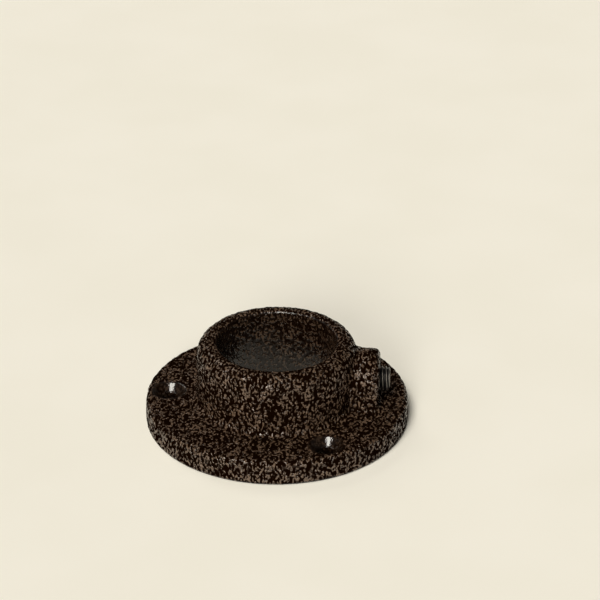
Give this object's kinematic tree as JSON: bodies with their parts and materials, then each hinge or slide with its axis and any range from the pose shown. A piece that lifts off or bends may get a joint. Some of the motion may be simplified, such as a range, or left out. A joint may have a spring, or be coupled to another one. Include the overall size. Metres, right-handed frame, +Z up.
{
  "type": "tube clamp base flange",
  "caption": "Round cast flange with an upright collar that holds a tube end, countersunk fixing holes and a side boss with a clamping set screw.",
  "frame": {"origin": "centre of the flange's underside, on the tube's axis", "axes": "+Z up along the tube, +X towards the set screw"},
  "size_m": [0.1086, 0.1086, 0.0355],
  "materials": {
    "enamelled_iron": "black-brown hammered enamel, glossy",
    "black_steel": "black oxide, lightly oiled"
  },
  "bodies": {
    "casting": {"flange_casting": "enamelled_iron"},
    "screw": {"set_screw": "black_steel"}
  },
  "joints": [
    {"name": "screw_travel", "type": "slide", "parent": "casting", "child": "screw", "axis": [1, 0, 0], "range_m": [-0.0023, 0.008]}
  ]
}
